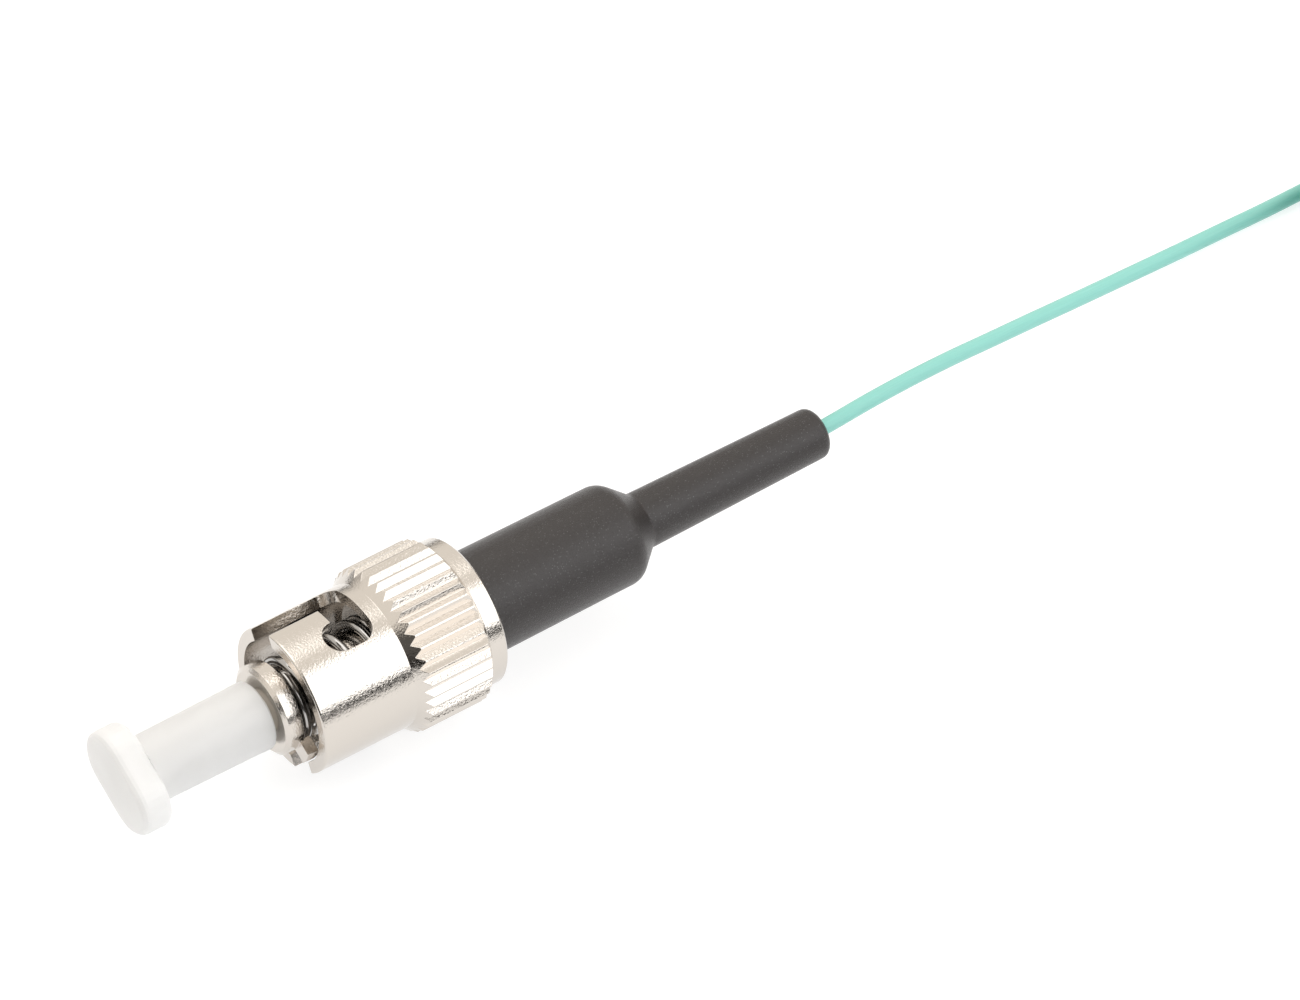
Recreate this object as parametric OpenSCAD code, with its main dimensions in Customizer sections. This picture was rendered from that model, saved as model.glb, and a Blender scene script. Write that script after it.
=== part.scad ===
// Bayonet fibre connector on a 0.9 mm buffered pigtail.
// The connector's axis lies along X, nose toward -X, knurl resting on z = 0.
// Places along the axis are given from the coupling nut's front rim, plus toward the cable.

/* [Coupling nut] */
// Outside diameter of the slotted shell
shell_d = 8.5; // [8.3:0.05:8.7]
// Bore of the shell, which goes over an adapter's barrel
shell_bore_d = 7.1; // [7.05:0.05:7.4]
// Length of the shell from its front rim to the shoulder
shell_l = 5.85; // [5.6:0.05:6.5]
// Length of the conical shoulder in front of the knurl
shoulder_l = 0.7; // [0.4:0.05:1]
// Outside diameter over the knurl's ridges
knurl_d = 9.6; // [9.4:0.1:10.4]
// Length of the knurled band behind the shoulder
knurl_l = 3.8; // [3:0.05:5]
// Number of V grooves round the knurl
knurl_n = 40; // [24:4:48]
// Depth of each V groove
knurl_depth = 0.3; // [0.15:0.05:0.35]
// Width of the flat left on top of each ridge
knurl_flat = 0.1; // [0.05:0.01:0.16]
// Length of the bevel behind the knurl
knurl_bevel_l = 0.35; // [0.2:0.05:0.6]
// Outside diameter of the smooth rear flange
flange_d = 8.6; // [8.2:0.05:8.9]
// Length of the smooth rear flange
flange_l = 1.05; // [0.6:0.05:1.6]
// Radius on the shell's front rim
rim_round = 0.12; // [0.05:0.01:0.2]
// Chamfer on the flange's rear edge
flange_chamfer = 0.12; // [0.05:0.01:0.2]

/* [Bayonet slots] */
// Width of the slot, and of the adapter's stud plus its clearance
slot_w = 1.9; // [1.6:0.02:2]
// Direction of the slot's entry, in degrees from straight up toward +Y
slot_entry_a = 27; // [20:1:35]
// Turn from the entry to the locking pocket, in degrees
slot_turn_a = 42; // [38:1:56]
// Place of the cross slot's centre line behind the front rim
slot_x = 4.1; // [3.7:0.02:4.3]
// How far the locking pocket reaches forward of the cross slot
pocket_depth = 0.98; // [0.6:0.02:1.2]

/* [Web, washer and clip] */
// Distance from the rear of the shell to the web inside the nut
web_set = 0.55; // [0.3:0.05:0.7]
// Thickness of the web, which slides on the body
web_l = 1.6; // [1.2:0.1:2]
// Bore of the nut's rear recess, round the clip and the boot
recess_d = 6.7; // [6.5:0.1:7.2]
// Outside diameter of the thrust washer
washer_d = 6.4; // [5.6:0.1:6.8]
// Thickness of the thrust washer
washer_t = 0.3; // [0.2:0.05:0.4]
// Outside diameter of the retaining clip
clip_d = 5.4; // [4.8:0.1:5.8]
// Thickness of the retaining clip
clip_t = 0.45; // [0.3:0.05:0.5]
// Opening angle of the retaining clip's mouth, in degrees
clip_gap_a = 70; // [40:5:100]
// Depth of the clip's groove in the barrel
groove_depth = 0.35; // [0.2:0.05:0.4]

/* [Spring] */
// Diameter of the spring's wire
wire_d = 0.5; // [0.4:0.05:0.55]
// Mean diameter of the spring's coils
coil_mean_d = 4.4; // [4.3:0.05:4.5]
// Number of open coils between the two closed ends
spring_turns = 3; // [2.5:0.5:4]
// Direction of the wire's front end, in degrees from straight up toward -Y
spring_start_a = 2; // [-180:1:180]

/* [Body] */
// Outside diameter of the front ring
ring_d = 5.2; // [5:0.1:5.4]
// Place of the ring's front face ahead of the nut's front rim
ring_front = 1.32; // [1:0.01:1.5]
// Length of the front ring
ring_l = 1.08; // [0.9:0.02:1.2]
// Radial height of the chamfer on the ring's front edge
ring_chamfer = 0.25; // [0.1:0.05:0.4]
// Diameter of the barrel that the nut slides and turns on
barrel_d = 3.7; // [3.5:0.05:3.75]
// Length of the barrel behind the retaining clip
barrel_tail_l = 0.83; // [0.6:0.01:1.5]
// Diameter of the barrel's rear bore, which takes the stem's spigot
rear_bore_d = 2.6; // [2.55:0.05:2.7]
// Radius that the alignment key reaches from the axis
key_r = 3.45; // [3.2:0.05:3.5]
// Width of the alignment key
key_w = 1.1; // [0.9:0.05:1.4]
// Place of the key's front face ahead of the nut's front rim
key_front = 0.56; // [0.4:0.02:0.8]
// Length of the alignment key
key_l = 0.68; // [0.5:0.02:0.8]
// Direction of the key, in degrees from straight up toward +Y
key_a = -116; // [-150:1:-90]

/* [Ferrule and fibre] */
// Diameter of the ceramic ferrule
ferrule_d = 2.5; // [2.4:0.05:2.5]
// Place of the ferrule's tip ahead of the nut's front rim
ferrule_front = 8.6; // [7.5:0.1:8.8]
// Place of the ferrule's rear end behind the nut's front rim
ferrule_rear = 3.3; // [2.5:0.1:3.5]
// Bore through the ferrule
fibre_bore_d = 0.13; // [0.13:0.01:0.2]
// Diameter of the bare glass fibre
glass_d = 0.125; // [0.08:0.005:0.125]
// Diameter of the buffered fibre
buffer_d = 0.9; // [0.6:0.05:0.9]
// Diameter of the funnel's mouth in the ferrule's rear end
funnel_d = 1.1; // [0.8:0.1:1.5]
// Length of the funnel in the ferrule's rear end
funnel_l = 1.2; // [0.8:0.1:2]
// Gap from the ferrule's rear end to the end of the buffer
strip_gap = 0.2; // [0.1:0.05:0.5]

/* [Dust cap] */
// Diameter of the cap's tube at its open end
cap_d = 3.97; // [3.8:0.01:4.2]
// Diameter of the cap's tube at its head
cap_head_end_d = 3.84; // [3.7:0.01:4]
// Place of the tube's open end ahead of the nut's front rim
cap_open = 1.6; // [1.5:0.05:2.5]
// Length of the cap's tube from its open end to the head
cap_tube_l = 7.15; // [6.8:0.05:8]
// Thickness of the head along the axis
cap_head_t = 1.85; // [1.4:0.05:2.4]
// Length of the bar-shaped head
cap_head_l = 6.15; // [5:0.05:8]
// Width of the bar-shaped head
cap_head_w = 3.9; // [3:0.1:3.9]
// Radius on the head's edges
cap_head_round = 0.4; // [0.2:0.05:0.5]
// Room left in the cap ahead of the ferrule's tip
cap_tip_gap = 0.3; // [0.1:0.05:0.4]
// Direction of the head's long side, in degrees from straight up toward +Y
cap_a = -120; // [-180:5:180]

/* [Stem and boot] */
// Outside diameter of the stem's tube between its ribs
stem_d = 3.5; // [3.3:0.05:3.6]
// Outside diameter over the stem's ribs
stem_rib_d = 4.1; // [3.9:0.05:4.2]
// Number of ribs on the stem
stem_rib_n = 4; // [2:1:5]
// Length of the stem behind the barrel
stem_l = 7; // [5.5:0.1:8]
// Length of the stem's spigot inside the barrel
spigot_l = 2.7; // [2:0.1:3]
// Outside diameter of the boot's body at its front end
boot_d = 6; // [5.4:0.1:6.2]
// Outside diameter of the boot's body at its shoulder
boot_rear_d = 5.86; // [5.4:0.02:6.2]
// Gap from the retaining clip to the boot's front end
boot_gap = 0.43; // [0.2:0.01:0.6]
// Length of the boot's body, up to its shoulder
boot_body_l = 12.4; // [11:0.1:15]
// Length of the boot's conical shoulder
boot_shoulder_l = 2.1; // [1.8:0.1:3]
// Radius where the body rounds over into the shoulder
shoulder_round = 1.2; // [0.6:0.1:1.4]
// Radius of the fillet between the shoulder and the tail
shoulder_fillet = 0.4; // [0.2:0.1:0.6]
// Length of the boot's thin tail
boot_tail_l = 12; // [8:0.1:16]
// Diameter of the tail where it leaves the shoulder
tail_d = 3.24; // [3:0.02:3.8]
// Diameter of the tail near its tip
tail_tip_d = 2.95; // [2.5:0.01:3]
// Radius on the edge of the tail's tip
tip_round = 0.5; // [0.2:0.05:0.6]

/* [Clearances] */
// Radial play of the nut and washer on the barrel
slide_play = 0.05; // [0.03:0.01:0.08]
// Radial play between pieces that are pressed or glued together
press_play = 0.01; // [0.01:0.005:0.02]
// Gap between faces that bear on each other along the axis
face_play = 0.02; // [0.01:0.01:0.04]
// Radial play of the dust cap on the ferrule
cap_play = 0.03; // [0.02:0.01:0.05]

/* [Hidden] */
$fn = 96;

knurl_front = shell_l + shoulder_l;
knurl_end = knurl_front + knurl_l;
flange_front = knurl_end + knurl_bevel_l;
nut_end = flange_front + flange_l;

ring_rear = ring_l - ring_front;
barrel_r = barrel_d / 2;
slide_r = barrel_r + slide_play;
web_front = shell_l + web_set;
web_rear = web_front + web_l;
washer_rear = web_front - face_play;
washer_front = washer_rear - washer_t;
clip_front = web_rear + face_play;
clip_rear = clip_front + clip_t;
groove_r = barrel_r - groove_depth;
barrel_end = clip_rear + barrel_tail_l;

cap_tube_front = -cap_open - cap_tube_l;
cap_front = cap_tube_front - cap_head_t;
boot_front = clip_rear + boot_gap;
boot_body_end = boot_front + boot_body_l;
boot_shoulder_end = boot_body_end + boot_shoulder_l;
boot_tip = boot_shoulder_end + boot_tail_l;
stem_end = barrel_end + stem_l;
strip_x = ferrule_rear + strip_gap;

// Half the angle that a ridge's flat top takes
ridge_half_a = asin(knurl_flat / knurl_d);
pitch_a = 360 / knurl_n;
// The knurl lies on two ridges, with a groove straight down
axis_h = knurl_d / 2 * cos(pitch_a / 2 - ridge_half_a);
// The origin is under the middle of the connector's length
x_mid = (cap_front + boot_tip) / 2;

nickel = [0.78, 0.75, 0.71];

// Route of the free fibre's centre line, down to the floor
run_points = [
    [23, 0, 4.79], [24.6, 0.1, 4.79], [27, 0.33, 4.7], [30, 0.68, 4.38], [33, 1.08, 3.88],
    [36, 1.5, 3.25], [39, 1.95, 2.6], [42, 2.38, 1.95], [45, 2.78, 1.35], [48, 3.08, 0.88],
    [51, 3.25, 0.57], [54, 3.28, 0.45], [57, 3.2, 0.45], [60, 3.2, 0.45], [62.5, 3.2, 0.45]
];
run_sides = 8;
// The rest of the fibre is a flat coil, five turns wide and six high, that the run enters
coil_outer_r = 7.6;
coil_inner_r = 2.95;
coil_h = 5.6;
coil_centre = [64.4, 3.2 + buffer_d / 2 - coil_outer_r];

// Points of an arc about c, from angle a0 to angle a1
function arc(c, r, a0, a1, n = 6) =
    [for (i = [0:n]) c + r * [cos(a0 + (a1 - a0) * i / n), sin(a0 + (a1 - a0) * i / n)]];

// Stands what is drawn along Z on the connector's axis, from place x on
module on_axis(x = 0) translate([x - x_mid, 0, axis_h]) rotate([0, 90, 0]) children();

// Turns what points along local X to an angle from straight up toward +Y
module facing(a) rotate([0, 0, 180 - a]) children();

// A turned shape from points [radius, place along the axis]
module turned(points) on_axis() rotate_extrude() polygon(points);

// A bore from place x0 to place x1
module bore(d, x0, x1) on_axis(x0) cylinder(d = d, h = x1 - x0);

// Turns what is already placed on the axis
module rotate_about_axis(a)
    translate([0, 0, axis_h]) rotate([a, 0, 0]) translate([0, 0, -axis_h]) children();

module knurl_prism() {
    ridge_r = knurl_d / 2;
    on_axis(-1) linear_extrude(nut_end + 2) polygon([
        for (i = [0:knurl_n - 1]) each [
            (ridge_r - knurl_depth) * [cos(pitch_a * i), sin(pitch_a * i)],
            for (side = [-1, 1]) let (a = pitch_a * (i + 0.5) + side * ridge_half_a)
                ridge_r * [cos(a), sin(a)]
        ]
    ]);
}

module bayonet_slot() {
    depth = shell_d / 2 + 1;
    entry = slot_entry_a;
    pocket = slot_entry_a - slot_turn_a;
    on_axis() {
        // Straight way in from the front rim
        facing(entry) translate([0, -slot_w / 2, -1]) cube([depth, slot_w, slot_x + 1]);
        facing(entry) translate([0, 0, slot_x]) rotate([0, 90, 0]) cylinder(d = slot_w, h = depth);
        // Way round the shell
        rotate([0, 0, 180 - entry]) rotate_extrude(angle = slot_turn_a)
            translate([shell_bore_d / 2 - 0.5, slot_x - slot_w / 2])
                square([depth - shell_bore_d / 2 + 0.5, slot_w]);
        // Locking pocket, which reaches back toward the front rim
        facing(pocket) for (x = [slot_x - pocket_depth, slot_x])
            translate([0, 0, x]) rotate([0, 90, 0]) cylinder(d = slot_w, h = depth);
        facing(pocket) translate([0, -slot_w / 2, slot_x - pocket_depth])
            cube([depth, slot_w, pocket_depth]);
    }
}

module coupling_nut() color(nickel) {
    shell_r = shell_d / 2;
    flange_r = flange_d / 2;
    difference() {
        intersection() {
            turned([
                [0, 0], each arc([shell_r - rim_round, rim_round], rim_round, -90, 0),
                [shell_r, shell_l], [knurl_d / 2, knurl_front], [knurl_d / 2, knurl_end],
                [flange_r, flange_front], [flange_r, nut_end - flange_chamfer],
                [flange_r - flange_chamfer, nut_end], [0, nut_end]
            ]);
            knurl_prism();
        }
        bore(shell_bore_d, -1, web_front);
        bore(slide_r * 2, 0, nut_end);
        bore(recess_d, web_rear, nut_end + 1);
        bayonet_slot();
        rotate_about_axis(180) bayonet_slot();
    }
}

module thrust_washer() color("silver") difference() {
    bore(washer_d, washer_front, washer_rear);
    bore(slide_r * 2, washer_front - 1, washer_rear + 1);
}

module retaining_clip() color("dimgray") {
    inner_r = groove_r + press_play;
    mid_r = (inner_r + clip_d / 2) / 2;
    end_d = clip_d / 2 - inner_r;
    on_axis(clip_front) {
        difference() {
            cylinder(d = clip_d, h = clip_t);
            translate([0, 0, -1]) cylinder(r = inner_r, h = clip_t + 2);
            translate([0, 0, -1]) linear_extrude(clip_t + 2) polygon([
                [0, 0], each [for (a = [-1, 0, 1]) clip_d * [cos(a * clip_gap_a / 2), sin(a * clip_gap_a / 2)]]
            ]);
        }
        for (a = [-1, 1]) rotate([0, 0, a * clip_gap_a / 2]) translate([mid_r, 0, 0])
            cylinder(d = end_d, h = clip_t);
    }
}

module ferrule_body() color(nickel) {
    ring_r = ring_d / 2;
    chamfer_l = ring_chamfer * 0.75;
    edge = 0.08;
    groove_front = clip_front - face_play;
    groove_rear = clip_rear + face_play;
    difference() {
        union() {
            turned([
                [0, -ring_front], [ring_r - ring_chamfer, -ring_front],
                [ring_r, chamfer_l - ring_front], [ring_r, ring_rear - edge],
                [ring_r - edge, ring_rear], [barrel_r, ring_rear],
                [barrel_r, groove_front], [groove_r, groove_front],
                [groove_r, groove_rear], [barrel_r, groove_rear],
                [barrel_r, barrel_end], [0, barrel_end]
            ]);
            // Alignment key on the ring's edge, relieved where it reaches over the spring
            difference() {
                intersection() {
                    on_axis(-key_front) facing(key_a)
                        translate([0, -key_w / 2, 0]) cube([key_r + 1, key_w, key_l]);
                    bore(key_r * 2, -ring_front, shell_l);
                }
                bore(coil_mean_d + wire_d + 2 * slide_play, ring_rear, shell_l);
            }
        }
        bore(ferrule_d + 2 * press_play, -ring_front - 1, ferrule_rear);
        bore(rear_bore_d, ferrule_rear, barrel_end + 1);
    }
}

module ferrule() color("white") {
    r = ferrule_d / 2;
    tip_r = r - 0.35;
    tip_dome = 0.03;
    tip_cone_l = 0.6;
    rear = ferrule_rear - face_play;
    difference() {
        turned([
            [0, -ferrule_front], [tip_r, tip_dome - ferrule_front],
            [r, tip_cone_l - ferrule_front], [r, rear], [0, rear]
        ]);
        bore(fibre_bore_d, -ferrule_front - 1, ferrule_rear + 1);
        // Funnel that guides the stripped fibre into the bore
        turned([
            [0, rear - funnel_l], [fibre_bore_d / 2, rear - funnel_l],
            [funnel_d / 2, rear], [funnel_d / 2, rear + 1], [0, rear + 1]
        ]);
    }
}

module glass_fibre() color("lightcyan") bore(glass_d, 0.02 - ferrule_front, strip_x);

module adhesive() color("goldenrod") difference() {
    bore(rear_bore_d - 2 * press_play, ferrule_rear, barrel_end - spigot_l - face_play);
    bore(buffer_d + 2 * press_play, strip_x, barrel_end);
    bore(glass_d + press_play, ferrule_rear - 1, strip_x + 1);
}

// Centre line of the spring: closed end turns, open turns between them
function spring_x(turn) =
    let (x0 = ring_rear + face_play + wire_d / 2)
    let (x1 = washer_front - face_play - wire_d / 2)
    let (closed = wire_d * 1.06)
    let (pitch = (x1 - x0 - 2 * closed) / spring_turns)
    turn < 1 ? x0 + closed * turn
    : turn < 1 + spring_turns ? x0 + closed + pitch * (turn - 1)
    : x0 + closed + pitch * spring_turns + closed * (turn - 1 - spring_turns);

module spring() color("lightgray") {
    sides = 10;
    steps = 24;
    rings = (spring_turns + 2) * steps;
    start_a = 180 + spring_start_a;
    points = [
        for (i = [0:rings], k = [0:sides - 1])
            let (a = start_a + 360 * i / steps, b = 360 * k / sides)
            let (r = coil_mean_d / 2 + wire_d / 2 * cos(b))
            [r * cos(a), r * sin(a), spring_x(i / steps) + wire_d / 2 * sin(b)]
    ];
    on_axis() polyhedron(points, tube_faces(rings, sides));
}

// Faces of a closed tube of rings of points
function tube_faces(rings, sides) = concat(
    [[for (k = [0:sides - 1]) k]],
    [for (i = [0:rings - 1], k = [0:sides - 1]) let (n = (k + 1) % sides)
        [i * sides + k, (i + 1) * sides + k, (i + 1) * sides + n, i * sides + n]],
    [[for (k = [sides - 1:-1:0]) rings * sides + k]]
);

module rear_stem() color(nickel) {
    bore_r = buffer_d / 2 + 0.1;
    rib_pitch = (stem_l - 2) / stem_rib_n;
    difference() {
        turned([
            [0, barrel_end - spigot_l], [rear_bore_d / 2 - press_play, barrel_end - spigot_l],
            [rear_bore_d / 2 - press_play, barrel_end + face_play],
            [stem_rib_d / 2, barrel_end + face_play], [stem_rib_d / 2, barrel_end + 1],
            // Ribs that rise slowly toward the nut and drop square behind it
            for (i = [0:stem_rib_n - 1]) each let (x = barrel_end + 1 + rib_pitch * i) [
                [stem_d / 2, x], [stem_d / 2, x + rib_pitch * 0.35],
                [stem_rib_d / 2, x + rib_pitch * 0.4]
            ],
            [stem_d / 2, stem_end - 1], [stem_d / 2, stem_end], [0, stem_end]
        ]);
        bore(bore_r * 2, 0, stem_end + 1);
    }
}

module boot() color([0.13, 0.12, 0.12]) {
    front_r = boot_d / 2;
    body_r = boot_rear_d / 2;
    tail_r = tail_d / 2;
    tip_r = tail_tip_d / 2;
    edge = 0.2;
    fibre_play = 0.05;
    socket_end = stem_end + 0.4;
    socket_cone_l = 2;
    // The shoulder's cone is the line that touches the round and the fillet
    round_c = [body_r - shoulder_round, boot_body_end];
    fillet_c = [tail_r + shoulder_fillet, boot_shoulder_end];
    span = fillet_c - round_c;
    cone_a = atan2(span[1], span[0]) - acos((shoulder_round + shoulder_fillet) / norm(span));
    difference() {
        turned([
            [0, boot_front], [front_r - edge, boot_front], [front_r, boot_front + edge],
            each arc(round_c, shoulder_round, 0, cone_a),
            each arc(fillet_c, shoulder_fillet, 180 + cone_a, 180, 3),
            each arc([tip_r - tip_round, boot_tip - tip_round], tip_round, 0, 90),
            [0, boot_tip]
        ]);
        bore(stem_rib_d + 2 * press_play, boot_front - 1, socket_end);
        turned([
            [0, socket_end - 0.01], [stem_rib_d / 2, socket_end - 0.01],
            [buffer_d / 2 + fibre_play, socket_end + socket_cone_l],
            [0, socket_end + socket_cone_l]
        ]);
        bore(buffer_d + 2 * fibre_play, boot_front, boot_tip + 1);
    }
}

module fibre_inside() color("aquamarine") bore(buffer_d, strip_x, boot_tip);

module dust_cap() color([0.95, 0.95, 0.95, 0.8]) {
    r = ferrule_d / 2 + cap_play;
    blind_end = -ferrule_front - cap_tip_gap;
    blind_cone_l = 0.4;
    sunk = 0.1;
    edge = 0.1;
    difference() {
        union() {
            turned([
                [0, cap_tube_front - sunk], [cap_head_end_d / 2, cap_tube_front - sunk],
                [cap_d / 2, -cap_open - edge], [cap_d / 2 - edge, -cap_open], [0, -cap_open]
            ]);
            on_axis(cap_front) facing(cap_a) cap_head();
        }
        turned([
            [0, blind_end], [r - blind_cone_l, blind_end], [r, blind_end + blind_cone_l],
            [r, 0], [0, 0]
        ]);
    }
}

module cap_head() {
    end_r = cap_head_w / 2;
    e = cap_head_round;
    hull() for (side = [-1, 1]) translate([side * (cap_head_l / 2 - end_r), 0, 0])
        rotate_extrude($fn = 32) polygon([
            [0, 0], each arc([end_r - e, e], e, -90, 0, 3),
            each arc([end_r - e, cap_head_t - e], e, 0, 90, 3), [0, cap_head_t]
        ]);
}

// Direction of the run at point i, as the mean of its two neighbours' difference
function heading(i) =
    let (a = run_points[max(i - 1, 0)], b = run_points[min(i + 1, len(run_points) - 1)])
    i == 0 ? [1, 0, 0] : (b - a) / norm(b - a);

module fibre_run() color("aquamarine") {
    n = len(run_points);
    points = [
        for (i = [0:n - 1])
            let (d = heading(i))
            let (side = [-d[1], d[0], 0] / norm([d[0], d[1]]))
            let (up = cross(d, side))
            for (k = [0:run_sides - 1]) let (a = 360 * k / run_sides)
                run_points[i] + buffer_d / 2 * (cos(a) * side + sin(a) * up)
    ];
    polyhedron(points, tube_faces(n - 1, run_sides));
}

module fibre_coil() color("aquamarine") {
    r = buffer_d / 2;
    translate(coil_centre) rotate_extrude() polygon([
        each arc([coil_outer_r - r, r], r, -90, 0, 3),
        each arc([coil_outer_r - r, coil_h - r], r, 0, 90, 3),
        each arc([coil_inner_r + r, coil_h - r], r, 90, 180, 3),
        each arc([coil_inner_r + r, r], r, 180, 270, 3)
    ]);
}

dust_cap();
ferrule();
glass_fibre();
adhesive();
ferrule_body();
spring();
thrust_washer();
coupling_nut();
retaining_clip();
rear_stem();
boot();
fibre_inside();
fibre_run();
fibre_coil();
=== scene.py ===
"""A bayonet fibre connector with dust cap and aqua pigtail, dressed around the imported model.

The connector's axis lies along X, nose toward -X, with the knurl resting on the floor at z = 0.
Lengths are in metres, and MM turns millimetres into them.
"""

import bpy
import numpy as np
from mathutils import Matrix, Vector


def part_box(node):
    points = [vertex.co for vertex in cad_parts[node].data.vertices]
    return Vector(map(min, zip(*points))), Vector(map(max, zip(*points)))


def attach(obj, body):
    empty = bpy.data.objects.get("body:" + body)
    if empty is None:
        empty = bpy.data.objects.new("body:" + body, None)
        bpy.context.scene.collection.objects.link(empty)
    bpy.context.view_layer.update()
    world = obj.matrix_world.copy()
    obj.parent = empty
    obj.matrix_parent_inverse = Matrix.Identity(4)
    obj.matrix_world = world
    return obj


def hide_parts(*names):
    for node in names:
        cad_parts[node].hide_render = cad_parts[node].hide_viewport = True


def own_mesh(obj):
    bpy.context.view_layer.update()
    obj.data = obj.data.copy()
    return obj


MM = 0.001

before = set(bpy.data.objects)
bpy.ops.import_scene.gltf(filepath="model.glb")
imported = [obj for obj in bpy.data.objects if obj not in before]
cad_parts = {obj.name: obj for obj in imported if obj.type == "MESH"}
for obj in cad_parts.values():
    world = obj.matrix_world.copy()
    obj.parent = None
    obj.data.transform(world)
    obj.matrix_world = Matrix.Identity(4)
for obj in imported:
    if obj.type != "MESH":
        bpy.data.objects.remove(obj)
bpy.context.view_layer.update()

# ---------------------------------------------------------------------------------------------
# Camera
# A long lens looks down on the connector from the nose side, so its parallel edges stay nearly
# parallel in the picture.
# ---------------------------------------------------------------------------------------------
VIEW_AZIMUTH, VIEW_ELEVATION = np.radians((-35.72, 44.56))
VIEW_TARGET = Vector((11.7 * MM, 0, 5.96 * MM))
VIEW_DISTANCE = 0.5
VIEW_LENS = 256.04

to_camera = Vector((
    np.cos(VIEW_ELEVATION) * np.sin(VIEW_AZIMUTH),
    -np.cos(VIEW_ELEVATION) * np.cos(VIEW_AZIMUTH),
    np.sin(VIEW_ELEVATION),
))
camera_data = bpy.data.cameras.new("camera")
camera_data.lens = VIEW_LENS
camera_data.clip_start = 0.01
camera = bpy.data.objects.new("camera", camera_data)
camera.location = VIEW_TARGET + VIEW_DISTANCE * to_camera
camera.rotation_euler = to_camera.to_track_quat("Z", "Y").to_euler()
bpy.context.scene.collection.objects.link(camera)
bpy.context.scene.camera = camera


# ---------------------------------------------------------------------------------------------
# Buffered fibre
# A glass fibre under 0.9 mm of extruded aqua plastic. It leaves the boot and droops to the floor,
# and the rest of its metre lies wound in a small coil, cut off bare at its end.
# ---------------------------------------------------------------------------------------------
FIBRE_D = 0.9 * MM
RUN_POINTS = MM * np.array([
    (23, 0, 4.79), (24.6, 0.1, 4.79), (27, 0.33, 4.7), (30, 0.68, 4.38), (33, 1.08, 3.88),
    (36, 1.5, 3.25), (39, 1.95, 2.6), (42, 2.38, 1.95), (45, 2.78, 1.35), (48, 3.08, 0.88),
    (51, 3.25, 0.57), (54, 3.28, 0.45), (57, 3.2, 0.45), (60, 3.2, 0.45), (62.5, 3.2, 0.45),
])
COIL_CENTRE = MM * np.array((64.4, -3.95))
COIL_OUTER_R = 7.6 * MM
COIL_ROW = 5
COIL_TURNS = 28.9
TURN_PITCH = 0.93 * MM
TURN_STEPS = 24
STEP_FROM = 0.86
TUBE_SIDES = 12
RUN_STEPS = 4


def smooth_step(t):
    """3t^2 - 2t^3 with t held between 0 and 1."""
    t = np.clip(t, 0, 1)
    return t * t * (3 - 2 * t)


def smooth_line(points, per_span):
    """Catmull-Rom line through points a, b, c, d.

    From b to c it is b + (c - a)/2 t + (a - 5b/2 + 2c - d/2) t^2 + (3b - 3c - a + d)/2 t^3.
    """
    ends = np.vstack([2 * points[0] - points[1], points, 2 * points[-1] - points[-2]])
    a, b, c, d = (ends[i:len(ends) - 3 + i, None] for i in range(4))
    t = (np.arange(per_span) / per_span)[None, :, None]
    bend = a - 2.5 * b + 2 * c - d / 2
    twist = (3 * b - 3 * c - a + d) / 2
    line = b + (c - a) / 2 * t + bend * t**2 + twist * t**3
    return np.vstack([line.reshape(-1, 3), points[-1]])


def coil_line(turns, per_turn):
    """Wound line: the turn number picks a place across the ring (r) and a layer (z), to and fro.

    x, y = centre + r (sin a, cos a) with a the angle wound, and over a turn's last part, from
    STEP_FROM on, r and z ease into the next turn's place.
    """
    t = np.linspace(0, turns, int(turns * per_turn) + 1)
    whole = np.minimum(np.floor(t), np.ceil(turns) - 1)
    ease = smooth_step((t - whole - STEP_FROM) / (1 - STEP_FROM))

    def place(turn):
        layer = turn // COIL_ROW
        step = turn % COIL_ROW
        column = np.where(layer % 2 == 0, step, COIL_ROW - 1 - step)
        return COIL_OUTER_R - FIBRE_D / 2 - TURN_PITCH * column, FIBRE_D / 2 + TURN_PITCH * layer

    (r0, z0), (r1, z1) = place(whole), place(whole + 1)
    r, z = r0 + (r1 - r0) * ease, z0 + (z1 - z0) * ease
    angle = 2 * np.pi * t
    return np.stack([COIL_CENTRE[0] + r * np.sin(angle), COIL_CENTRE[1] + r * np.cos(angle), z], 1)


def mesh_piece(name, points, faces, uv=None):
    """A smooth mesh object from arrays of points, faces and, for each face's corners, u and v."""
    mesh = bpy.data.meshes.new(name)
    mesh.from_pydata(points.reshape(-1, 3), [], faces)
    if uv is not None:
        layer = mesh.uv_layers.new(name="surface")
        layer.data.foreach_set("uv", np.asarray(uv, np.float32).ravel())
    mesh.shade_smooth()
    piece = bpy.data.objects.new(name, mesh)
    bpy.context.scene.collection.objects.link(piece)
    return piece


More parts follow.
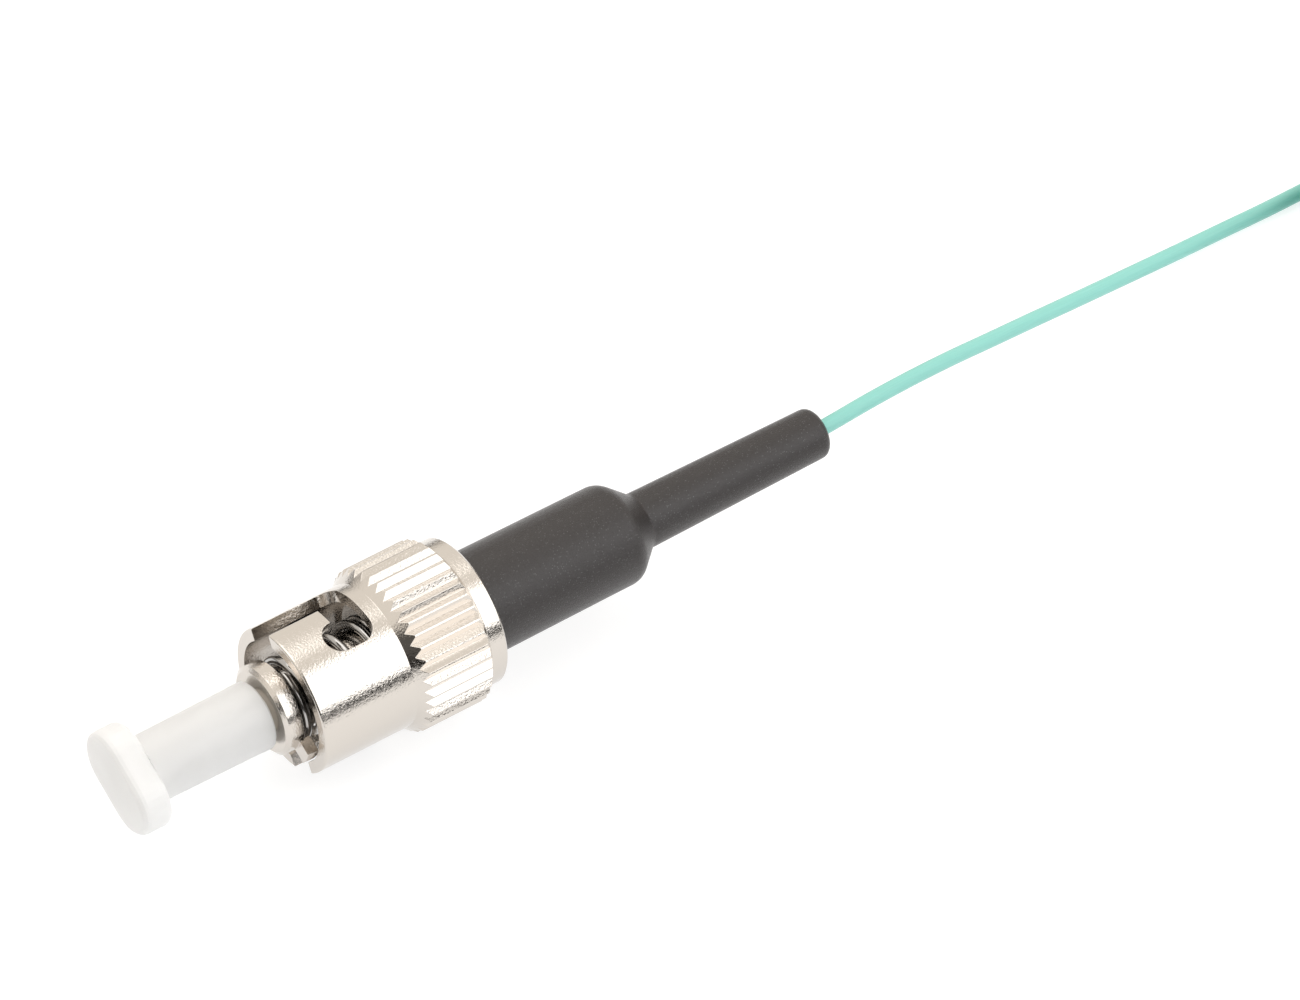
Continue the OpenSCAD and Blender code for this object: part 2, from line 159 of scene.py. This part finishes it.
def tube_piece(name, line, radius, sides):
    """Round tube along a line: line(s) + radius (cos b side + sin b up), with its two ends closed.

    side is level and square to the line, up is square to both. v is the length along the line.
    """
    along = np.gradient(line, axis=0)
    along /= np.linalg.norm(along, axis=1, keepdims=True)
    side = np.stack([-along[:, 1], along[:, 0], 0 * along[:, 0]], 1)
    side /= np.linalg.norm(side, axis=1, keepdims=True)
    up = np.cross(along, side)
    b = np.linspace(0, 2 * np.pi, sides, endpoint=False)[None, :, None]
    points = line[:, None] + radius * (np.cos(b) * side[:, None] + np.sin(b) * up[:, None])
    ring, k = np.meshgrid(np.arange(len(line) - 1), np.arange(sides), indexing="ij")
    k1 = (k + 1) % sides
    here, ahead = ring * sides, (ring + 1) * sides
    quads = np.stack([here + k, here + k1, ahead + k1, ahead + k], -1)
    s = np.concatenate([[0], np.cumsum(np.linalg.norm(np.diff(line, axis=0), axis=1))])
    u = np.stack([k, k + 1, k + 1, k], -1) / sides
    v = s[np.stack([ring, ring, ring + 1, ring + 1], -1)]
    start = list(range(sides))[::-1]
    end = list(range((len(line) - 1) * sides, len(line) * sides))
    faces = quads.reshape(-1, 4).tolist() + [start, end]
    uv = np.concatenate([np.stack([u, v], -1).reshape(-1, 2), np.zeros((2 * sides, 2))])
    return mesh_piece(name, points, faces, uv)


coil = coil_line(COIL_TURNS, TURN_STEPS)
run = smooth_line(np.vstack([RUN_POINTS, coil[0]]), RUN_STEPS)
fibre_line = np.vstack([run[:-1], coil])
fibre = tube_piece("buffered_fibre", fibre_line, FIBRE_D / 2, TUBE_SIDES)


def shader_group(name, inputs, outputs):
    """A node group with named number inputs and named outputs, returned with its two end nodes."""
    group = bpy.data.node_groups.new(name, "ShaderNodeTree")
    for label, kind, value in inputs:
        socket = group.interface.new_socket(name=label, in_out="INPUT", socket_type=kind)
        if value is not None:
            socket.default_value = value
    for label, kind in outputs:
        group.interface.new_socket(name=label, in_out="OUTPUT", socket_type=kind)
    return group, group.nodes.new("NodeGroupInput"), group.nodes.new("NodeGroupOutput")


def node(tree, kind, links=None, **settings):
    """A new node, with its settings, and each input given a value or a socket to come from."""
    made = tree.nodes.new(kind)
    for key, value in settings.items():
        setattr(made, key, value)
    for key, value in (links or {}).items():
        if isinstance(value, bpy.types.NodeSocket):
            tree.links.new(value, made.inputs[key])
        else:
            made.inputs[key].default_value = value
    return made


def surface(name, shader_values):
    """A material whose Principled shader has the given constant values."""
    material = bpy.data.materials.new(name)
    material.use_nodes = True
    shader = material.node_tree.nodes["Principled BSDF"]
    for key, value in shader_values.items():
        shader.inputs[key].default_value = value
    return material, material.node_tree, shader


def speck_group():
    """Fine specks: Voronoi cells' middles out to Size, thinned to Amount of them."""
    group, given, result = shader_group(
        "fine_specks",
        [("Vector", "NodeSocketVector", None), ("Scale", "NodeSocketFloat", 4000.0),
         ("Size", "NodeSocketFloat", 0.2), ("Amount", "NodeSocketFloat", 0.5)],
        [("Mask", "NodeSocketFloat")],
    )
    cells = node(group, "ShaderNodeTexVoronoi", {
        "Vector": given.outputs["Vector"], "Scale": given.outputs["Scale"],
    })
    near = node(group, "ShaderNodeMath", {
        0: given.outputs["Size"], 1: cells.outputs["Distance"],
    }, operation="SUBTRACT")
    spot = node(group, "ShaderNodeMath", {0: near.outputs[0], 1: given.outputs["Size"]},
                operation="DIVIDE", use_clamp=True)
    pick = node(group, "ShaderNodeSeparateColor", {"Color": cells.outputs["Color"]})
    kept = node(group, "ShaderNodeMath", {
        0: pick.outputs["Red"], 1: given.outputs["Amount"],
    }, operation="LESS_THAN")
    mask = node(group, "ShaderNodeMath", {
        0: spot.outputs[0], 1: kept.outputs[0],
    }, operation="MULTIPLY")
    group.links.new(mask.outputs[0], result.inputs["Mask"])
    return group


FINE_SPECKS = speck_group()


def on_piece(tree, group, values=None):
    """A node group read at the piece's Object coordinates, with values for its other inputs."""
    place = node(tree, "ShaderNodeTexCoord")
    return node(tree, "ShaderNodeGroup", {"Vector": place.outputs["Object"], **(values or {})},
                node_tree=group)


def two_colours(tree, mask, under, over):
    """The first colour with the second laid over it where the mask is 1."""
    mixed = node(tree, "ShaderNodeMix", {0: mask}, data_type="RGBA")
    mixed.inputs[6].default_value = under
    mixed.inputs[7].default_value = over
    return mixed.outputs[2]


def aqua_buffer():
    """Satin aqua plastic with faint draw lines along it and a slight change of shade."""
    material, tree, shader = surface("aqua_buffer", {
        "Roughness": 0.38, "Subsurface Weight": 0.25, "Subsurface Radius": (0.4, 0.5, 0.5),
        "Subsurface Scale": 0.4 * MM, "Specular IOR Level": 0.4,
    })
    place = node(tree, "ShaderNodeTexCoord")
    lines = node(tree, "ShaderNodeMapping", {"Vector": place.outputs["UV"], "Scale": (60, 300, 1)})
    drawn = node(tree, "ShaderNodeTexNoise", {
        "Vector": lines.outputs[0], "Scale": 1.0, "Detail": 3.0,
    })
    shade = node(tree, "ShaderNodeValToRGB", {"Fac": drawn.outputs["Fac"]})
    shade.color_ramp.elements[0].position, shade.color_ramp.elements[1].position = 0.3, 0.7
    shade.color_ramp.elements[0].color = (0.235, 0.55, 0.49, 1)
    shade.color_ramp.elements[1].color = (0.26, 0.59, 0.53, 1)
    tree.links.new(shade.outputs["Color"], shader.inputs["Base Color"])
    bump = node(tree, "ShaderNodeBump", {
        "Height": drawn.outputs["Fac"], "Strength": 0.15, "Distance": 0.01 * MM,
    })
    tree.links.new(bump.outputs["Normal"], shader.inputs["Normal"])
    return material


AQUA_BUFFER = aqua_buffer()
fibre.data.materials.append(AQUA_BUFFER)
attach(fibre, "connector")
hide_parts("fibre_run", "fibre_coil")


def finish_node(name, material):
    """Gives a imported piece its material."""
    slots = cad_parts[name].data.materials
    slots.clear()
    slots.append(material)


finish_node("fibre_inside", AQUA_BUFFER)

# ---------------------------------------------------------------------------------------------
# Spring
# Polished steel wire, coiled with its two end turns closed and ground flat. It pushes the nut back
# against its clip.
# ---------------------------------------------------------------------------------------------
WIRE_D = 0.5 * MM
OPEN_TURNS = 3
CLOSED_PITCH = 1.06 * WIRE_D
END_GROUND = 0.4
SPRING_START = np.radians(182)
HELIX_STEPS = 48
WIRE_SIDES = 14
spring_box = [np.array(corner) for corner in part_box("spring")]
AXIS_Y, AXIS_Z = (spring_box[0] + spring_box[1])[1:] / 2


def spring_line():
    """Helix x(t), r (sin a, -cos a), with a the angle turned.

    The first and last turn climb CLOSED_PITCH each, and the turns between share what is left.
    """
    x0, x1 = spring_box[0][0] + WIRE_D / 2, spring_box[1][0] - WIRE_D / 2
    t = np.linspace(0, OPEN_TURNS + 2, (OPEN_TURNS + 2) * HELIX_STEPS + 1)
    turns = [0, 1, OPEN_TURNS + 1, OPEN_TURNS + 2]
    x = np.interp(t, turns, [x0, x0 + CLOSED_PITCH, x1 - CLOSED_PITCH, x1])
    r = (spring_box[1] - spring_box[0])[1] / 2 - WIRE_D / 2
    a = SPRING_START + 2 * np.pi * t
    return np.stack([x, AXIS_Y + r * np.sin(a), AXIS_Z - r * np.cos(a)], 1)


def coiled_wire(name, line, radius, sides):
    """Round wire about a helix on X: line + radius (cos b outward + sin b X).

    Both ends are ground flat by END_GROUND of the wire's radius.
    """
    outward = line - np.array([0, AXIS_Y, AXIS_Z])
    outward[:, 0] = 0
    outward /= np.linalg.norm(outward, axis=1, keepdims=True)
    b = np.linspace(0, 2 * np.pi, sides, endpoint=False)[None, :, None]
    along_x = np.array([1.0, 0, 0])
    points = line[:, None] + radius * (np.cos(b) * outward[:, None] + np.sin(b) * along_x)
    left = (1 - END_GROUND) * radius
    points[..., 0] = np.clip(points[..., 0], line[0, 0] - left, line[-1, 0] + left)
    ring, k = np.meshgrid(np.arange(len(line) - 1), np.arange(sides), indexing="ij")
    k1 = (k + 1) % sides
    here, ahead = ring * sides, (ring + 1) * sides
    quads = np.stack([here + k, ahead + k, ahead + k1, here + k1], -1)
    start = list(range(sides))
    end = list(range((len(line) - 1) * sides, len(line) * sides))[::-1]
    return mesh_piece(name, points, quads.reshape(-1, 4).tolist() + [start, end])


def grain_group():
    """Height is the fine skin of the metal, and Shade its slow unevenness."""
    group, given, result = shader_group(
        "metal_grain",
        [("Vector", "NodeSocketVector", None), ("Grain", "NodeSocketFloat", 8000.0),
         ("Slow", "NodeSocketFloat", 700.0)],
        [("Height", "NodeSocketFloat"), ("Shade", "NodeSocketFloat")],
    )
    fine = node(group, "ShaderNodeTexNoise", {
        "Vector": given.outputs["Vector"], "Scale": given.outputs["Grain"], "Detail": 3.0,
        "Roughness": 0.6,
    })
    slow = node(group, "ShaderNodeTexNoise", {
        "Vector": given.outputs["Vector"], "Scale": given.outputs["Slow"], "Detail": 3.0,
    })
    group.links.new(fine.outputs["Fac"], result.inputs["Height"])
    group.links.new(slow.outputs["Fac"], result.inputs["Shade"])
    return group


METAL_GRAIN = grain_group()


def spring_steel():
    """Bright drawn wire."""
    material, tree, shader = surface("spring_steel", {
        "Base Color": (0.42, 0.41, 0.4, 1), "Metallic": 1.0,
    })
    grain = on_piece(tree, METAL_GRAIN)
    bump = node(tree, "ShaderNodeBump", {
        "Height": grain.outputs["Height"], "Strength": 0.2, "Distance": 0.01 * MM,
    })
    tree.links.new(bump.outputs["Normal"], shader.inputs["Normal"])
    rough = node(tree, "ShaderNodeMapRange", {
        "Value": grain.outputs["Shade"], "To Min": 0.1, "To Max": 0.26,
    })
    tree.links.new(rough.outputs[0], shader.inputs["Roughness"])
    return material


SPRING_STEEL = spring_steel()
spring = coiled_wire("spring_wire", spring_line(), WIRE_D / 2, WIRE_SIDES)
spring.data.materials.append(SPRING_STEEL)
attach(spring, "connector")
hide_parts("spring")
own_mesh(spring)

# ---------------------------------------------------------------------------------------------
# Nickel-plated pieces
# The nut, the body and the stem are turned from brass and plated with bright nickel, which leaves a
# faint pebbled skin over the tool's marks.
# ---------------------------------------------------------------------------------------------


def turned_group():
    """Lathe lines: noise that changes along X only, so each line runs round the axis."""
    group, given, result = shader_group(
        "turned_lines",
        [("Vector", "NodeSocketVector", None), ("Lines", "NodeSocketFloat", 16000.0)],
        [("Height", "NodeSocketFloat")],
    )
    apart = node(group, "ShaderNodeSeparateXYZ", {"Vector": given.outputs["Vector"]})
    along = node(group, "ShaderNodeCombineXYZ", {"X": apart.outputs["X"]})
    lines = node(group, "ShaderNodeTexNoise", {
        "Vector": along.outputs[0], "Scale": given.outputs["Lines"], "Detail": 2.0,
    })
    group.links.new(lines.outputs["Fac"], result.inputs["Height"])
    return group


TURNED_LINES = turned_group()


def bright_nickel():
    """Warm silver plate with a pebbled skin, lathe lines and slow changes of gloss."""
    material, tree, shader = surface("bright_nickel", {
        "Metallic": 1.0, "Base Color": (0.63, 0.59, 0.545, 1),
    })
    grain = on_piece(tree, METAL_GRAIN)
    lines = on_piece(tree, TURNED_LINES)
    edge = node(tree, "ShaderNodeBevel", {"Radius": 0.04 * MM}, samples=8)
    skin = node(tree, "ShaderNodeBump", {
        "Height": grain.outputs["Height"], "Strength": 0.5, "Distance": 0.03 * MM,
        "Normal": edge.outputs["Normal"],
    })
    cut = node(tree, "ShaderNodeBump", {
        "Height": lines.outputs["Height"], "Strength": 0.1, "Distance": 0.01 * MM,
        "Normal": skin.outputs["Normal"],
    })
    tree.links.new(cut.outputs["Normal"], shader.inputs["Normal"])
    rough = node(tree, "ShaderNodeMapRange", {
        "Value": grain.outputs["Shade"], "To Min": 0.03, "To Max": 0.09,
    })
    tree.links.new(rough.outputs[0], shader.inputs["Roughness"])
    return material


BRIGHT_NICKEL = bright_nickel()
for name in ("coupling_nut", "ferrule_body", "rear_stem"):
    finish_node(name, BRIGHT_NICKEL)
for name in ("thrust_washer", "retaining_clip"):
    finish_node(name, SPRING_STEEL)

# ---------------------------------------------------------------------------------------------
# Ferrule, glass and adhesive
# The ferrule is ground zirconia with the glass fibre down its middle, and a bead of cured adhesive
# holds the fibre behind it.
# ---------------------------------------------------------------------------------------------


def zirconia():
    """Cream ceramic, ground and polished."""
    material, tree, shader = surface("zirconia", {
        "Roughness": 0.15, "Subsurface Weight": 0.2, "Subsurface Radius": (1, 0.9, 0.8),
        "Subsurface Scale": 0.5 * MM, "Coat Weight": 0.3,
    })
    grain = on_piece(tree, METAL_GRAIN)
    shade = node(tree, "ShaderNodeValToRGB", {"Fac": grain.outputs["Shade"]})
    shade.color_ramp.elements[0].color = (0.88, 0.84, 0.76, 1)
    shade.color_ramp.elements[1].color = (0.93, 0.9, 0.84, 1)
    tree.links.new(shade.outputs["Color"], shader.inputs["Base Color"])
    return material


def clear_glass():
    """The fibre's own glass."""
    return surface("fibre_glass", {
        "Roughness": 0.02, "Transmission Weight": 1.0, "IOR": 1.46,
        "Base Color": (0.95, 0.98, 1, 1),
    })[0]


def cured_adhesive():
    """Amber resin with small bubbles."""
    material, tree, shader = surface("cured_adhesive", {
        "Roughness": 0.25, "Transmission Weight": 0.3,
    })
    specks = on_piece(tree, FINE_SPECKS)
    shade = two_colours(tree, specks.outputs["Mask"], (0.5, 0.26, 0.06, 1), (0.7, 0.45, 0.15, 1))
    tree.links.new(shade, shader.inputs["Base Color"])
    return material


finish_node("ferrule", zirconia())
finish_node("glass_fibre", clear_glass())
finish_node("adhesive", cured_adhesive())

# ---------------------------------------------------------------------------------------------
# Dust cap
# Natural polyethylene, moulded in one piece: a round tube that grips the ferrule and a bar-shaped
# head to pull it off by. Light passes into it, so the ferrule shows as a warm core.
# ---------------------------------------------------------------------------------------------


def milky_plastic():
    """Translucent white plastic."""
    material, tree, shader = surface("milky_plastic", {
        "Base Color": (0.93, 0.93, 0.92, 1), "Subsurface Weight": 0.85,
        "Subsurface Radius": (1, 1, 1), "Subsurface Scale": 2.0 * MM, "IOR": 1.5,
        "Transmission Weight": 0.25,
    })
    place = node(tree, "ShaderNodeTexCoord")
    clouds = node(tree, "ShaderNodeTexNoise", {
        "Vector": place.outputs["Object"], "Scale": 900.0, "Detail": 4.0,
    })
    rough = node(tree, "ShaderNodeMapRange", {
        "Value": clouds.outputs["Fac"], "To Min": 0.32, "To Max": 0.5,
    })
    tree.links.new(rough.outputs[0], shader.inputs["Roughness"])
    bump = node(tree, "ShaderNodeBump", {
        "Height": clouds.outputs["Fac"], "Strength": 0.1, "Distance": 0.05 * MM,
    })
    tree.links.new(bump.outputs["Normal"], shader.inputs["Normal"])
    return material


finish_node("dust_cap", milky_plastic())

# ---------------------------------------------------------------------------------------------
# Boot
# Black moulded rubber. It slips over the stem's ribs and keeps the fibre from bending sharply where
# it leaves. Its matte skin holds fine pale dust.
# ---------------------------------------------------------------------------------------------


def matte_rubber():
    """Soft black rubber, pebbled and dusted with pale specks."""
    material, tree, shader = surface("matte_rubber", {"Roughness": 0.3, "Specular IOR Level": 0.55})
    place = node(tree, "ShaderNodeTexCoord")
    specks = on_piece(tree, FINE_SPECKS, {"Scale": 9000.0, "Size": 0.34, "Amount": 0.35})
    shade = two_colours(
        tree, specks.outputs["Mask"], (0.0165, 0.0125, 0.012, 1), (0.12, 0.12, 0.12, 1))
    tree.links.new(shade, shader.inputs["Base Color"])
    pebble = node(tree, "ShaderNodeTexNoise", {
        "Vector": place.outputs["Object"], "Scale": 15000.0, "Detail": 4.0,
    })
    bump = node(tree, "ShaderNodeBump", {
        "Height": pebble.outputs["Fac"], "Strength": 0.9, "Distance": 0.04 * MM,
    })
    tree.links.new(bump.outputs["Normal"], shader.inputs["Normal"])
    return material


finish_node("boot", matte_rubber())

# ---------------------------------------------------------------------------------------------
# Floor and light
# A small white light table under a large soft light on the near side, which the nickel shows as a
# broad white band. The room round it is dark on the near side and pale overhead and behind.
# ---------------------------------------------------------------------------------------------
FLOOR_SIZE = 180 * MM
FLOOR_MIDDLE = 22 * MM

floor_paper = surface("pale_floor", {
    "Roughness": 0.9, "Base Color": (0.35, 0.35, 0.35, 1), "Specular IOR Level": 0.1,
    "Emission Color": (1, 1, 1, 1), "Emission Strength": 0.76,
})[0]
corner = FLOOR_SIZE / 2
floor = mesh_piece(
    "floor",
    corner * np.array([(-1, -1, 0), (1, -1, 0), (1, 1, 0), (-1, 1, 0)]) + (FLOOR_MIDDLE, 0, 0),
    [(0, 1, 2, 3)],
)
floor.data.materials.append(floor_paper)


def soft_light(name, direction, distance, size, power):
    """A rectangular light at a distance from the nut, facing it."""
    light = bpy.data.lights.new(name, "AREA")
    light.shape = "RECTANGLE"
    light.size, light.size_y = size
    light.energy = power
    holder = bpy.data.objects.new(name, light)
    away = Vector(direction).normalized()
    holder.location = away * distance + Vector((0, 0, AXIS_Z))
    holder.rotation_euler = away.to_track_quat("Z", "Y").to_euler()
    holder.visible_camera = False
    bpy.context.scene.collection.objects.link(holder)


soft_light(
    "near_softbox", direction=(0.416, -0.694, 0.588), distance=0.5, size=(0.7, 0.5), power=2.5)
soft_light("top_fill", direction=(-0.1, 0.35, 1.0), distance=0.7, size=(0.6, 0.5), power=1.25)

# Light from the room by the angle about X, from 0 level on the near side to 1 level behind
ROOM_LIGHT = (
    (0.0, 0.01), (0.07, 0.02), (0.11, 0.12), (0.33, 0.12), (0.37, 0.05), (0.42, 1.0), (0.9, 1.0),
    (1.0, 0.5),
)
ROOM_TINT = (1.0, 0.95, 0.88)

world = bpy.data.worlds.new("surround")
bpy.context.scene.world = world
world.use_nodes = True
sky = world.node_tree
sky.nodes.clear()
way = node(sky, "ShaderNodeTexCoord")
parts = node(sky, "ShaderNodeSeparateXYZ", {"Vector": way.outputs["Generated"]})
nearer = node(sky, "ShaderNodeMath", {0: parts.outputs["Y"], 1: -1.0}, operation="MULTIPLY")
climb = node(sky, "ShaderNodeMath", {
    0: parts.outputs["Z"], 1: nearer.outputs[0],
}, operation="ARCTAN2")
half_turn = node(sky, "ShaderNodeMath", {
    0: climb.outputs[0], 1: np.pi,
}, operation="DIVIDE", use_clamp=True)
room = node(sky, "ShaderNodeValToRGB", {"Fac": half_turn.outputs[0]})
stops = room.color_ramp.elements
stops.remove(stops[1])
for number, (turned, light) in enumerate(ROOM_LIGHT):
    stop = stops.new(turned) if number else stops[0]
    stop.color = [light * tint for tint in ROOM_TINT] + [1]
seen = node(sky, "ShaderNodeLightPath")
pick = node(sky, "ShaderNodeMix", {0: seen.outputs["Is Camera Ray"]}, data_type="RGBA")
sky.links.new(room.outputs["Color"], pick.inputs[6])
pick.inputs[7].default_value = (1, 1, 1, 1)
shine = node(sky, "ShaderNodeBackground", {"Color": pick.outputs[2], "Strength": 1.1})
node(sky, "ShaderNodeOutputWorld", {"Surface": shine.outputs[0]})

bpy.context.scene.view_settings.view_transform = "Standard"
